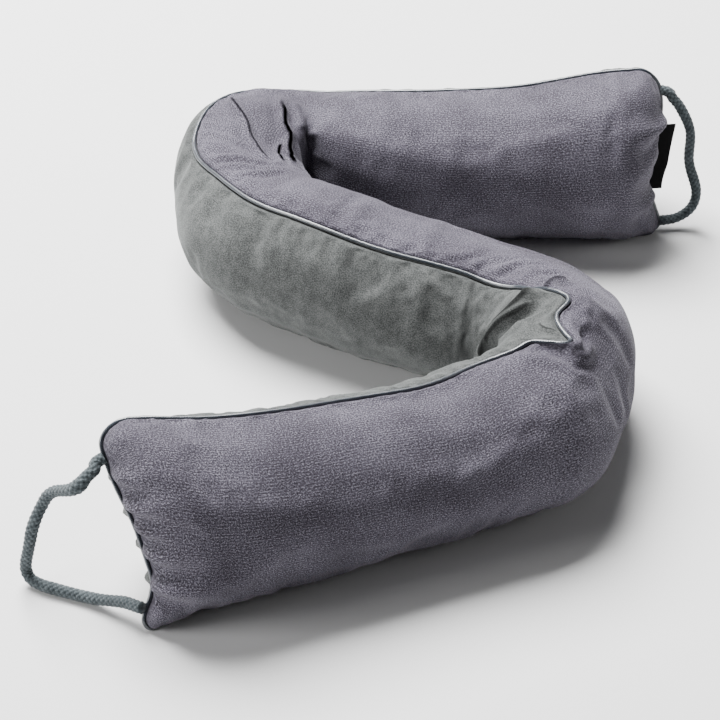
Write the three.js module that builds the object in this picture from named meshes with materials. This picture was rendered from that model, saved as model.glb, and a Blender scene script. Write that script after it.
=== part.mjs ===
// Draught excluder: a long filled fabric tube lying on the floor in an S.
// Two fabric panels, one mauve and one green, are joined by a piped seam that runs
// round the whole tube, both flat ends included. A rope handle is sewn into each end,
// and a small bare fabric tag into the far end.
// Millimetres. +X to the right, +Y away from the viewer, +Z up. The origin lies under
// the middle of the tube, on the floor.
import * as THREE from "three";
import { mergeVertices } from "three/addons/utils/BufferGeometryUtils.js";

// The middle line of the tube on the floor plan: where it starts, which way it heads,
// and how far it turns to the left over each stretch.
const START = { x: -161.6, y: -202.4 };
const START_HEADING = 17.8;
const STRETCHES = [
  { name: "near leg", length: 222.6, turn: 8.9 },
  { name: "right bend, start", length: 32.9, turn: 28.3 },
  { name: "right bend, near part", length: 39.6, turn: 25.6 },
  { name: "right bend, tip", length: 30.8, turn: 28.4 },
  { name: "right bend, far part", length: 32, turn: 28.9 },
  { name: "right bend, end", length: 37.4, turn: 27.6 },
  { name: "middle leg, first half", length: 62, turn: -12.6 },
  { name: "middle leg, second half", length: 59.3, turn: -10.1 },
  { name: "left bend, first part", length: 23.4, turn: -16.2 },
  { name: "left bend, wide part", length: 21.4, turn: -23.2 },
  { name: "left bend, flat part", length: 28.7, turn: -11.4 },
  { name: "left bend, back part", length: 26.5, turn: -10.1 },
  { name: "left bend, corner", length: 14.4, turn: -25.6 },
  { name: "left bend, side", length: 18.4, turn: -21.9 },
  { name: "left bend, fold", length: 13.5, turn: -23 },
  { name: "left bend, end", length: 13.9, turn: -27.1 },
  { name: "far leg, first part", length: 63.7, turn: 9.9 },
  { name: "far leg, middle", length: 80.6, turn: 5.5 },
  { name: "far leg, last part", length: 85.9, turn: 7.3 },
];
const TUBE_LENGTH = Math.round(STRETCHES.reduce((sum, stretch) => sum + stretch.length, 0));

// The tube's section along the middle line: its width and height, and how far the top
// seam leans from upright towards the left of the way along.
const SECTIONS = [
  { at: 0, width: 97.8, height: 117, lean: 32.4 },
  { at: 25, width: 96.7, height: 110.3, lean: 25.1 },
  { at: 51, width: 96.1, height: 103.2, lean: 21.5 },
  { at: 92, width: 92.4, height: 99, lean: 16.7 },
  { at: 138, width: 93.6, height: 94.4, lean: 18.1 },
  { at: 183, width: 95.4, height: 91.1, lean: 12 },
  { at: 219, width: 101.7, height: 93.1, lean: 22.8 },
  { at: 250, width: 96.6, height: 95.5, lean: 12.1 },
  { at: 277, width: 77.3, height: 97.4, lean: 10.3 },
  { at: 306, width: 80.3, height: 104, lean: 6.5 },
  { at: 336, width: 95.1, height: 87.9, lean: 10.9 },
  { at: 369, width: 92.5, height: 80.3, lean: 23.9 },
  { at: 408, width: 95.7, height: 85.3, lean: 18.9 },
  { at: 449, width: 93.3, height: 93.3, lean: 24 },
  { at: 489, width: 92.8, height: 100.4, lean: 25.9 },
  { at: 525, width: 92.9, height: 98.2, lean: 26.4 },
  { at: 556, width: 97.2, height: 92.1, lean: 23.4 },
  { at: 583, width: 85.8, height: 96.4, lean: 43.2 },
  { at: 609, width: 81.3, height: 108.4, lean: 41.4 },
  { at: 634, width: 90.2, height: 103.7, lean: 33 },
  { at: 663, width: 92.5, height: 84.2, lean: 32.1 },
  { at: 698, width: 95.4, height: 91.8, lean: 25.4 },
  { at: 744, width: 99.5, height: 96.2, lean: 18.2 },
  { at: 805, width: 104.8, height: 100.7, lean: 17.5 },
  { at: 861, width: 107.6, height: 111.1, lean: 19.2 },
  { at: TUBE_LENGTH, width: 101.2, height: 114.3, lean: 12 },
];

// How the tube rests and closes
const REST_SINK = 2.5;
const END_TAPER = 42;
const END_TAPER_POWER = 0.6;
const END_HALF_THICKNESS = 3;
const UPPER_CORNER = 17;
const LOWER_CORNER = 9;

// How far each flat end is drawn in at a level from its lower corner (-1) to its upper
// corner (1); a negative number stands out
const END_LINE = [
  { level: -1, near: 2.4, far: 2 },
  { level: -0.8, near: 7.4, far: 6 },
  { level: -0.6, near: 14.9, far: 10 },
  { level: -0.4, near: 12.9, far: 13 },
  { level: -0.2, near: 11.2, far: 11 },
  { level: 0, near: 9.4, far: 9.3 },
  { level: 0.2, near: 6, far: 7 },
  { level: 0.4, near: 2.4, far: 5 },
  { level: 0.6, near: 0.4, far: 5 },
  { level: 0.8, near: -1.6, far: 7 },
  { level: 1, near: -2.6, far: 9 },
];
const LEVEL_REACH = 0.12;
const DRAW_REACH = 60;

// Seam, piping and the clearance between pieces
const CLEARANCE = 0.3;
const PIPING_RADIUS = 1.6;
const PIPING_SIDES = 6;
const PIPING_SUNK = 1;
const PIPING_BEYOND_END = PIPING_RADIUS + CLEARANCE;
const GROOVE_DEPTH = 3.1;
const GROOVE_HALF_WIDTH = 2.9;
const LOWER_GROOVE_DEPTH = 4.4;
const LOWER_GROOVE_HALF_WIDTH = 5.4;

// Creases pressed into the tube: each runs straight from one spot to another, given as
// a distance along the tube and an angle round it from the top seam, green side
// positive, and has a depth and a half width.
const CREASES = [
  { name: "right bend, pinch", at: 297, angle: 22, toAt: 300, toAngle: 120, depth: 9, width: 9 },
  { name: "right bend, far fold", at: 322, angle: 18, toAt: 312, toAngle: 80, depth: 5, width: 6 },
  { name: "right bend, near fold", at: 268, angle: 14, toAt: 284, toAngle: 70, depth: 5, width: 6 },
  { name: "right bend, top dimple", at: 302, angle: -8, toAt: 296, toAngle: -30, depth: 3, width: 8 },
  { name: "left bend, main crease", at: 628, angle: -48, toAt: 632, toAngle: -125, depth: 10, width: 7 },
  { name: "left bend, long crease", at: 596, angle: -42, toAt: 612, toAngle: -115, depth: 5, width: 6 },
  { name: "left bend, back crease", at: 656, angle: -60, toAt: 645, toAngle: -120, depth: 4, width: 7 },
];

// Spacing of the rings that make up the solids
const LEG_SPACING = 14;
const BEND_SPACING = 7;
const CORNER_ANGLES = [0, 20, 33, 45, 57, 70, 90];
const TAPER_STATIONS = [22, 30, 40, 52];
const PANEL_POINTS = 11;
const PANEL_EDGE_ANGLE = 0.19;
const FACE_POINTS = 8;

// Rope handles: each leaves the end seam at a height, runs outwards and sags to the
// floor or hangs free, and goes back into the seam lower down. Their points are chosen
// by hand along the rope, in millimetres.
const ROPE_RADIUS = 3.4;
const ROPE_SIDES = 8;
const ROPE_STEPS = 40;
const NEAR_ROPE = [
  [-173, -186.8, 81.3], [-173.6, -189.9, 79.8], [-177.6, -192.6, 76.9], [-181.2, -195, 73.4],
  [-185.6, -194.5, 70], [-190.6, -190.7, 66.1], [-195.8, -186.3, 62.1], [-200.5, -184.3, 57.2],
  [-204, -184.5, 50.8], [-207.5, -186.4, 43.8], [-210, -188.3, 36.9], [-211.7, -189.2, 29.4],
  [-213.4, -189.2, 22], [-215.1, -188.9, 14.5], [-215.3, -189.1, 8.8], [-212.9, -191.5, 5],
  [-207.4, -194.6, 3.6], [-200.1, -197.9, 3.6], [-192.2, -201, 3.6], [-184, -204.2, 3.8],
  [-175.7, -207.9, 5], [-167.6, -212, 7.5], [-159.5, -216.7, 10.6], [-151.7, -223.3, 13.3],
];
const FAR_ROPE = [
  [168.2, 187, 93.1], [170.1, 185.8, 90.3], [174.5, 184.6, 85.4], [178.1, 183.4, 79.6],
  [181.3, 182.2, 73.4], [183.4, 181, 66.9], [183.8, 179.8, 60.1], [183.5, 178.6, 53.5],
  [183.8, 177.4, 47], [185.5, 176.2, 40.2], [188, 175, 33.4], [189.8, 173.8, 26.6],
  [189.6, 172.5, 20.2], [187.1, 171.3, 14.2], [182.3, 170.1, 9.9], [176.2, 168.9, 7.3],
  [168.6, 167.7, 6.7],
];

// Tag, sewn into the far end seam
const TAG = { top: 0.3, bottom: -0.47, thickness: 1.2, proud: 9.5, rows: 6 };

const COLOURS = { mauve: 0x7a7583, green: 0x838783, piping: 0x3d444d, rope: 0x8f9a9e, tag: 0x1c1b1d };

// Linear look-up in a table of rows, softened over a short stretch
function lookUp(rows, key, value, at) {
  let upper = 1;
  while (upper < rows.length - 1 && rows[upper][key] < at) {
    upper += 1;
  }
  const low = rows[upper - 1];
  const high = rows[upper];
  const part = THREE.MathUtils.clamp((at - low[key]) / (high[key] - low[key]), 0, 1);
  return low[value] + (high[value] - low[value]) * part;
}

function softLookUp(rows, key, value, at, reach) {
  const offsets = [-1, -0.5, 0, 0.5, 1];
  const sum = offsets.reduce((total, offset) => total + lookUp(rows, key, value, at + offset * reach), 0);
  return sum / offsets.length;
}

// Headings at the ends of the stretches, in degrees
const headingRows = [{ at: 0, heading: START_HEADING }];
for (const stretch of STRETCHES) {
  const last = headingRows[headingRows.length - 1];
  headingRows.push({ at: last.at + stretch.length, heading: last.heading + stretch.turn });
}
const HEADING_REACH = 8;
const SECTION_REACH = 15;

function headingAt(at) {
  return THREE.MathUtils.degToRad(softLookUp(headingRows, "at", "heading", at, HEADING_REACH));
}

// The middle line, walked in steps of one millimetre
const walk = [{ at: 0, x: START.x, y: START.y }];
for (let step = 1; step <= TUBE_LENGTH; step += 1) {
  const heading = headingAt(step - 0.5);
  const last = walk[step - 1];
  walk.push({ at: step, x: last.x + Math.cos(heading), y: last.y + Math.sin(heading) });
}

// The room on one side of the middle line, left (+1) or right (-1), before the tube
// would meet itself there: the radius of the largest circle that touches the line and
// stays clear of the rest of it, or the most that is asked for
const MOST_ROOM = 400;
const ROOM_SHARE = 0.96;
const ROOM_REACH = 6;
const ROOM_SKIP = 3;
const ROOM_KNEE = 0.55;

function roomRows(side) {
  const rooms = walk.map((here) => {
    const heading = headingAt(here.at);
    const across = new THREE.Vector2(-Math.sin(heading), Math.cos(heading)).multiplyScalar(side);
    let room = MOST_ROOM;
    for (const there of walk) {
      const run = new THREE.Vector2(there.x - here.x, there.y - here.y);
      if (Math.abs(there.at - here.at) > ROOM_SKIP && run.dot(across) > 0) {
        room = Math.min(room, run.lengthSq() / (2 * run.dot(across)));
      }
    }
    return room;
  });
  return walk.map(({ at }) => {
    const nearby = rooms.slice(Math.max(at - ROOM_REACH, 0), at + ROOM_REACH + 1);
    return { at, room: ROOM_SHARE * Math.min(...nearby) };
  });
}
const leftRoomRows = roomRows(1);
const rightRoomRows = roomRows(-1);

// Presses a sideways measure in where it would use up the room
function pressedIn(sideways, section) {
  const room = sideways > 0 ? section.leftRoom : section.rightRoom;
  const beyond = Math.abs(sideways) / room - ROOM_KNEE;
  if (beyond <= 0) {
    return sideways;
  }
  const rest = 1 - ROOM_KNEE;
  return Math.sign(sideways) * room * (ROOM_KNEE + rest * Math.tanh(beyond / rest));
}

function cornerRadius(end) {
  return end > 0 ? UPPER_CORNER : LOWER_CORNER;
}

function cornerCut(fromEnd, radius) {
  const inside = Math.min(fromEnd, radius);
  return radius - Math.sqrt(radius ** 2 - (radius - inside) ** 2);
}

// Everything about the tube's section at one place along it
function sectionAt(at) {
  const index = Math.min(Math.floor(at), TUBE_LENGTH - 1);
  const low = walk[index];
  const high = walk[index + 1];
  const part = at - index;
  const heading = headingAt(at);
  const lean = THREE.MathUtils.degToRad(softLookUp(SECTIONS, "at", "lean", at, SECTION_REACH));
  const fromNear = at;
  const fromFar = TUBE_LENGTH - at;
  const fromEnd = Math.min(fromNear, fromFar);
  const opening = (1 - (1 - Math.min(fromEnd / END_TAPER, 1)) ** 2) ** END_TAPER_POWER;
  const width = softLookUp(SECTIONS, "at", "width", at, SECTION_REACH);
  const height = softLookUp(SECTIONS, "at", "height", at, SECTION_REACH);
  const lowerCut = cornerCut(fromEnd, LOWER_CORNER);
  const across = END_HALF_THICKNESS + (width / 2 - END_HALF_THICKNESS) * opening;
  const drop = height / 2 - lowerCut;
  const reach = Math.hypot(drop * Math.cos(lean), across * Math.sin(lean));
  return {
    at,
    fromEnd,
    across,
    rise: height / 2 - cornerCut(fromEnd, UPPER_CORNER),
    drop,
    lean,
    half: height / 2,
    x: low.x + (high.x - low.x) * part,
    y: low.y + (high.y - low.y) * part,
    forward: new THREE.Vector3(Math.cos(heading), Math.sin(heading), 0),
    left: new THREE.Vector3(-Math.sin(heading), Math.cos(heading), 0),
    centreHeight: reach + lowerCut - REST_SINK * opening,
    leftRoom: softLookUp(leftRoomRows, "at", "room", at, ROOM_REACH),
    rightRoom: softLookUp(rightRoomRows, "at", "room", at, ROOM_REACH),
    nearPull: Math.max(1 - fromNear / DRAW_REACH, 0) ** 1.5,
    farPull: Math.max(1 - fromFar / DRAW_REACH, 0) ** 1.5,
  };
}

// A point of a section from its own sideways and upward measures, on the leaning axes
function place(section, side, up, outwards = 0) {
  const level = THREE.MathUtils.clamp(up / section.half, -1, 1);
  const nearShift = softLookUp(END_LINE, "level", "near", level, LEVEL_REACH);
  const farShift = softLookUp(END_LINE, "level", "far", level, LEVEL_REACH);
  const along = nearShift * section.nearPull - farShift * section.farPull + outwards;
  const sideways = pressedIn(side * Math.cos(section.lean) + up * Math.sin(section.lean), section);
  const height = up * Math.cos(section.lean) - side * Math.sin(section.lean) + section.centreHeight;
  const point = new THREE.Vector3(section.x, section.y, 0);
  point.addScaledVector(section.forward, along);
  point.addScaledVector(section.left, sideways);
  point.z = Math.max(height, 0);
  return point;
}

// How deep the creases press the tube in at a place and an angle round it
const SKIN_RADIUS = 46;
function creaseDepth(at, angle) {
  let deepest = 0;
  for (const crease of CREASES) {
    const spot = new THREE.Vector2(at, THREE.MathUtils.radToDeg(angle));
    const start = new THREE.Vector2(crease.at, crease.angle);
    const end = new THREE.Vector2(crease.toAt, crease.toAngle);
    const scale = (Math.PI / 180) * SKIN_RADIUS;
    for (const each of [spot, start, end]) {
      each.y *= scale;
    }
    const run = end.clone().sub(start);
    const part = THREE.MathUtils.clamp(spot.clone().sub(start).dot(run) / run.lengthSq(), 0, 1);
    const distance = spot.distanceTo(start.addScaledVector(run, part));
    deepest = Math.max(deepest, crease.depth * Math.exp(-((distance / crease.width) ** 2)));
  }
  return deepest;
}

function skinPoint(section, angle) {
  const side = section.across * Math.sin(angle);
  const up = (Math.cos(angle) > 0 ? section.rise : section.drop) * Math.cos(angle);
  const press = creaseDepth(section.at, angle);
  const shrink = 1 - press / Math.hypot(side, up);
  return place(section, side * shrink, up * shrink);
}

// The stations where rings stand, close together in the bends and at the ends
function stations() {
  const places = [];
  for (const degrees of CORNER_ANGLES) {
    places.push(UPPER_CORNER * (1 - Math.cos(THREE.MathUtils.degToRad(degrees))));
  }
  places.push(...TAPER_STATIONS);
  const taperEnd = TAPER_STATIONS[TAPER_STATIONS.length - 1];
  let from = taperEnd;
  let at = 0;
  for (const stretch of STRETCHES) {
    at += stretch.length;
    const to = Math.min(at, TUBE_LENGTH - taperEnd);
    const spacing = stretch.name.includes("bend") ? BEND_SPACING : LEG_SPACING;
    const count = Math.max(Math.round((to - from) / spacing), 1);
    for (let k = 1; k <= count; k += 1) {
      places.push(from + ((to - from) * k) / count);
    }
    from = to;
  }
  for (const distance of TAPER_STATIONS.slice(0, -1).reverse()) {
    places.push(TUBE_LENGTH - distance);
  }
  for (const degrees of [...CORNER_ANGLES].reverse()) {
    places.push(TUBE_LENGTH - UPPER_CORNER * (1 - Math.cos(THREE.MathUtils.degToRad(degrees))));
  }
  return places;
}

// How far round a corner from the end a section stands, 0 at the end and 1 past it
function cornerShare(section, radius) {
  const inside = Math.min(section.fromEnd / radius, 1);
  return 1 - (1 - inside) ** 2;
}

// The bottom of the groove that holds the piping in the top (+1) or bottom (-1) seam,
// as an upward measure of the section
function grooveLevel(section, end, depth) {
  const corner = cornerRadius(end);
  const radius = corner - depth * cornerShare(section, corner);
  const inside = corner - Math.min(section.fromEnd, corner);
  const rise = Math.sqrt(Math.max(radius ** 2 - inside ** 2, 0));
  return end * (section.half - corner + rise);
}

// The piping's middle as an upward measure of the section, in its top (+1) or bottom
// (-1) seam; the bottom one is lifted so that the piping stays off the floor
function pipingLevel(section, end) {
  const level = end > 0 ? section.rise - PIPING_SUNK : PIPING_SUNK - section.drop;
  const height = section.centreHeight + level * Math.cos(section.lean);
  const lift = Math.max(PIPING_RADIUS + CLEARANCE - height, 0) / Math.cos(section.lean);
  return level + lift;
}

function pipingCentre(section, end) {
  return place(section, 0, pipingLevel(section, end));
}

// One ring of a panel: green is side +1, mauve is side -1. The first points run round
// the outside from the top seam to the bottom one, the rest back up the inner face.
function panelRing(at, side) {
  const section = sectionAt(at);
  const faceGap = (side * CLEARANCE) / 2;
  const share = cornerShare(section, UPPER_CORNER);
  const lip = Math.asin(Math.min(GROOVE_HALF_WIDTH / section.across, 0.35));
  const lowLip = Math.asin(Math.min(LOWER_GROOVE_HALF_WIDTH / section.across, 0.35));
  const topLevel = grooveLevel(section, 1, GROOVE_DEPTH + PIPING_SUNK);
  const lift = pipingLevel(section, -1) + section.drop - PIPING_SUNK;
  const bottomLevel = lift + grooveLevel(section, -1, LOWER_GROOVE_DEPTH + PIPING_SUNK);
  const ring = [place(section, faceGap, topLevel)];
  const lipUp = section.rise * Math.cos(lip) - PIPING_SUNK * share;
  ring.push(place(section, side * section.across * Math.sin(lip), lipUp));
  for (let k = 0; k < PANEL_POINTS; k += 1) {
    const sweep = Math.PI - 2 * PANEL_EDGE_ANGLE;
    const angle = PANEL_EDGE_ANGLE + (sweep * k) / (PANEL_POINTS - 1);
    ring.push(skinPoint(section, side * angle));
  }
  ring.push(place(section, side * section.across * Math.sin(lowLip), -section.drop * Math.cos(lowLip)));
  ring.push(place(section, faceGap, bottomLevel));
  for (let k = 1; k <= FACE_POINTS; k += 1) {
    const level = bottomLevel + ((topLevel - bottomLevel) * k) / (FACE_POINTS + 1);
    ring.push(place(section, faceGap, level));
  }
  return ring;
}

// A closed solid from rings of equal length; open lofts get their two ends capped by
// strips between the outer chain and the inner face
function loft(rings, outerCount, joined) {
  const count = rings[0].length;
  const positions = [];
  for (const ring of rings) {
    for (const point of ring) {
      positions.push(point.x, point.y, point.z);
    }
  }
  const indices = [];
  const steps = joined ? rings.length : rings.length - 1;
  for (let i = 0; i < steps; i += 1) {
    const here = i * count;
    const next = ((i + 1) % rings.length) * count;
    for (let j = 0; j < count; j += 1) {
      const k = (j + 1) % count;
      indices.push(here + j, next + j, next + k, here + j, next + k, here + k);
    }
  }
  if (!joined) {
    capStrip(rings[0], 0, outerCount, indices, true);
    capStrip(rings[rings.length - 1], (rings.length - 1) * count, outerCount, indices, false);
  }
  const geometry = new THREE.BufferGeometry();
  geometry.setAttribute("position", new THREE.Float32BufferAttribute(positions, 3));
  geometry.setIndex(indices);
  return faceOutwards(mergeVertices(geometry, 0.0001));
}

// Joins the outer chain of a ring to its inner face, from the top seam down
function capStrip(ring, offset, outerCount, indices, first) {
  const outer = ring.slice(0, outerCount).map((point, index) => ({ point, index }));
  const inner = [outer[0]];
  for (let index = ring.length - 1; index >= outerCount; index -= 1) {
    inner.push({ point: ring[index], index });
  }
  inner.push(outer[outerCount - 1]);
  let a = 0;
  let b = 0;
  while (a < outer.length - 1 || b < inner.length - 1) {
    const outerNext = a < outer.length - 1 ? outer[a + 1].point.z : -Infinity;
    const innerNext = b < inner.length - 1 ? inner[b + 1].point.z : -Infinity;
    const here = [outer[a].index, inner[b].index];
    let third;
    if (outerNext >= innerNext) {
      a += 1;
      third = outer[a].index;
    } else {
      b += 1;
      third = inner[b].index;
    }
    if (third !== here[0] && third !== here[1] && here[0] !== here[1]) {
      const triangle = first ? [here[0], third, here[1]] : [here[0], here[1], third];
      indices.push(...triangle.map((index) => offset + index));
    }
  }
}

// Turns the triangles round if they enclose a negative volume
function faceOutwards(geometry) {
  const position = geometry.attributes.position;
  const index = geometry.index.array;
  const corner = [new THREE.Vector3(), new THREE.Vector3(), new THREE.Vector3()];
  let volume = 0;
  for (let i = 0; i < index.length; i += 3) {
    corner.forEach((each, k) => each.fromBufferAttribute(position, index[i + k]));
    volume += corner[0].dot(corner[1].cross(corner[2])) / 6;
  }
  if (volume < 0) {
    for (let i = 0; i < index.length; i += 3) {
      const kept = index[i + 1];
      index[i + 1] = index[i + 2];
      index[i + 2] = kept;
    }
  }
  return geometry;
}

// The end seam's line: a spot beyond the flat end at a level between the corners
function endLinePoint(which, level, beyond, side = 0) {
  const at = which === "near" ? 0 : TUBE_LENGTH;
  const section = sectionAt(at);
  const outwards = which === "near" ? -beyond : beyond;
  return place(section, side, level, outwards);
}

// The piping's closed line: along the top seam, down the far end, back along the
// bottom seam and up the near end
function pipingLine() {
  const lowerAlong = stations().filter((at) => at >= LOWER_CORNER && at <= TUBE_LENGTH - LOWER_CORNER);
  const along = stations().filter((at) => at >= UPPER_CORNER && at <= TUBE_LENGTH - UPPER_CORNER);
  const line = along.map((at) => pipingCentre(sectionAt(at), 1));
  line.push(...endPiping("far", 1));
  line.push(...lowerAlong.reverse().map((at) => pipingCentre(sectionAt(at), -1)));
  line.push(...endPiping("near", -1));
  return line;
}

// The piping round one corner of an end, from the long seam to the end seam
function cornerPiping(which, end) {
  const corner = cornerRadius(end);
  const points = [];
  for (const degrees of [72, 54, 36, 18]) {
    const turn = THREE.MathUtils.degToRad(degrees);
    const stand = THREE.MathUtils.lerp(PIPING_BEYOND_END, -PIPING_SUNK, Math.sin(turn) ** 2);
    const radius = corner + stand;
    const inside = corner - radius * Math.cos(turn);
    const fromEnd = Math.max(inside, 0);
    const beyond = Math.max(-inside, 0) * (which === "near" ? -1 : 1);
    const local = sectionAt(which === "near" ? fromEnd : TUBE_LENGTH - fromEnd);
    const level = end * (local.half - corner + radius * Math.sin(turn));
    const point = place(local, 0, level, beyond);
    point.z = Math.max(point.z, PIPING_RADIUS + CLEARANCE);
    points.push(point);
  }
  return points;
}

// The piping round one end, from the top seam down (+1) or from the bottom seam up (-1)
function endPiping(which, direction) {
  const section = sectionAt(which === "near" ? 0 : TUBE_LENGTH);
  const from = grooveLevel(section, direction, 0);
  const to = grooveLevel(section, -direction, 0);
  const line = cornerPiping(which, direction);
  for (let k = 0; k <= FACE_POINTS + 1; k += 1) {
    const level = THREE.MathUtils.lerp(from, to, k / (FACE_POINTS + 1));
    line.push(endLinePoint(which, level, PIPING_BEYOND_END));
  }
  line.push(...cornerPiping(which, -direction).reverse());
  return line;
}

// A round cord swept along a closed line
function closedCord(line, radius, sides) {
  const rings = [];
  let normal = new THREE.Vector3(0, 0, 1);
  for (let i = 0; i < line.length; i += 1) {
    const before = line[(i + line.length - 1) % line.length];
    const after = line[(i + 1) % line.length];
    const tangent = after.clone().sub(before).normalize();
    normal = normal.clone().addScaledVector(tangent, -normal.dot(tangent)).normalize();
    const binormal = tangent.clone().cross(normal);
    const ring = [];
    for (let k = 0; k < sides; k += 1) {
      const angle = (2 * Math.PI * (k + 0.5)) / sides;
      const point = line[i].clone();
      point.addScaledVector(normal, radius * Math.cos(angle));
      point.addScaledVector(binormal, radius * Math.sin(angle));
      ring.push(point);
    }
    rings.push(ring);
  }
  return loft(alignLast(rings), 0, true);
}

// Turns the numbering of the rings little by little so that the last meets the first
function alignLast(rings) {
  const sides = rings[0].length;
  const last = rings[rings.length - 1];
  let best = 0;
  for (let shift = 0; shift < sides; shift += 1) {
    const nearer = last[shift].distanceTo(rings[0][0]) < last[best].distanceTo(rings[0][0]);
    best = nearer ? shift : best;
  }
  rings[rings.length - 1] = last.map((point, k) => last[(k + best) % sides]);
  return rings;
}

function panelMesh(name, side, colour) {
  const rings = stations().map((at) => panelRing(at, side));
  const outerCount = PANEL_POINTS + 4;
  return namedMesh(name, loft(rings, outerCount, false), colour, 0.95);
}

function ropeMesh(name, route) {
  const points = route.map((point) => new THREE.Vector3(...point));
  const curve = new THREE.CatmullRomCurve3(points);
  const outline = new THREE.Shape();
  for (let k = 0; k < ROPE_SIDES; k += 1) {
    const angle = (2 * Math.PI * k) / ROPE_SIDES;
    const x = ROPE_RADIUS * Math.cos(angle);
    const y = ROPE_RADIUS * Math.sin(angle);
    if (k === 0) {
      outline.moveTo(x, y);
    } else {
      outline.lineTo(x, y);
    }
  }
  outline.closePath();
  const settings = { steps: ROPE_STEPS, curveSegments: 1, bevelEnabled: false, extrudePath: curve };
  const geometry = new THREE.ExtrudeGeometry(outline, settings);
  return namedMesh(name, geometry, COLOURS.rope, 0.9);
}

// The tag stands out from the far end seam, on the mauve side of the piping, as a thin
// slab that follows the seam's line
function tagMesh() {
  const half = sectionAt(TUBE_LENGTH).half;
  const inner = 3 * CLEARANCE;
  const back = -(PIPING_RADIUS + CLEARANCE);
  const front = back - TAG.thickness;
  const rings = [];
  for (let row = 0; row <= TAG.rows; row += 1) {
    const level = half * THREE.MathUtils.lerp(TAG.top, TAG.bottom, row / TAG.rows);
    const ring = [];
    for (const [out, side] of [[0, front], [TAG.proud, front], [TAG.proud, back], [0, back]]) {
      ring.push(endLinePoint("far", level, inner + out, side));
    }
    rings.push(ring);
  }
  return namedMesh("tag", loft(rings, 2, false), COLOURS.tag, 0.8);
}

function namedMesh(name, geometry, colour, roughness) {
  const material = new THREE.MeshStandardMaterial({ color: colour, roughness, metalness: 0 });
  const mesh = new THREE.Mesh(geometry, material);
  mesh.name = name;
  return mesh;
}

const excluder = new THREE.Group();
excluder.add(panelMesh("green_panel", 1, COLOURS.green));
excluder.add(panelMesh("mauve_panel", -1, COLOURS.mauve));
const piping = closedCord(pipingLine(), PIPING_RADIUS, PIPING_SIDES);
excluder.add(namedMesh("piping", piping, COLOURS.piping, 0.35));
excluder.add(ropeMesh("near_rope_handle", NEAR_ROPE));
excluder.add(ropeMesh("far_rope_handle", FAR_ROPE));
excluder.add(tagMesh());

export default excluder;
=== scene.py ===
"""Draught excluder: a long filled fabric tube that lies on the floor in an S.

A mauve woven panel and a green suede one are joined by a piped seam round the whole
tube. Each flat end has a braided rope handle, and the far one a small bare tag.
Shapes are worked out in millimetres and made in metres, in the frame of the model.
"""
import math
from types import SimpleNamespace

import bpy
import numpy as np
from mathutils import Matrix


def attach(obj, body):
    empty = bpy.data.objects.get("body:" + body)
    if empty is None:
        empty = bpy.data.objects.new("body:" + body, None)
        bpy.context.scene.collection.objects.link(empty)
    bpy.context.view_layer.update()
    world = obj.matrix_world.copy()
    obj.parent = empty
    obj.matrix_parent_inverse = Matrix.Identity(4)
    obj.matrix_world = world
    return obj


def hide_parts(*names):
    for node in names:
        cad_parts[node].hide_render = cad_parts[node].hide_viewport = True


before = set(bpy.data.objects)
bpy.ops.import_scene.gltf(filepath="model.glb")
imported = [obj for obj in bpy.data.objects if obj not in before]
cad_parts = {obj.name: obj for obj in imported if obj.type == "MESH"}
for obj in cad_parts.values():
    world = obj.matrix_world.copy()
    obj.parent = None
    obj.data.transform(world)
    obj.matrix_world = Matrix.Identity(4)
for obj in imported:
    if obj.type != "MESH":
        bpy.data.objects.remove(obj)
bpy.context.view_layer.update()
scene = bpy.context.scene
MM = 0.001

# ---------------------------------------------------------------- camera
CAMERA_PLACE = (-0.0341, -1.1331, 0.836)
CAMERA_PITCH_DOWN = 36.0
CAMERA_LENS = 115.05
CAMERA_SENSOR = 36.0


def make_camera():
    data = bpy.data.cameras.new("camera")
    data.sensor_width = CAMERA_SENSOR
    data.lens = CAMERA_LENS
    camera = bpy.data.objects.new("camera", data)
    camera.location = CAMERA_PLACE
    camera.rotation_euler = (math.radians(90.0 - CAMERA_PITCH_DOWN), 0.0, 0.0)
    scene.collection.objects.link(camera)
    scene.camera = camera


make_camera()

# ---------------------------------------------------------------- the tube's shape
# Middle line: length and left turn of each stretch, in millimetres and degrees
START = (-161.6, -202.4)
START_HEADING = 17.8
STRETCHES = [
    ("near leg", 222.6, 8.9),
    ("right bend, start", 32.9, 28.3),
    ("right bend, near part", 39.6, 25.6),
    ("right bend, tip", 30.8, 28.4),
    ("right bend, far part", 32, 28.9),
    ("right bend, end", 37.4, 27.6),
    ("middle leg, first half", 62, -12.6),
    ("middle leg, second half", 59.3, -10.1),
    ("left bend, first part", 23.4, -16.2),
    ("left bend, wide part", 21.4, -23.2),
    ("left bend, flat part", 28.7, -11.4),
    ("left bend, back part", 26.5, -10.1),
    ("left bend, corner", 14.4, -25.6),
    ("left bend, side", 18.4, -21.9),
    ("left bend, fold", 13.5, -23),
    ("left bend, end", 13.9, -27.1),
    ("far leg, first part", 63.7, 9.9),
    ("far leg, middle", 80.6, 5.5),
    ("far leg, last part", 85.9, 7.3),
]
TUBE_LENGTH = round(sum(length for _, length, _ in STRETCHES))

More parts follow.
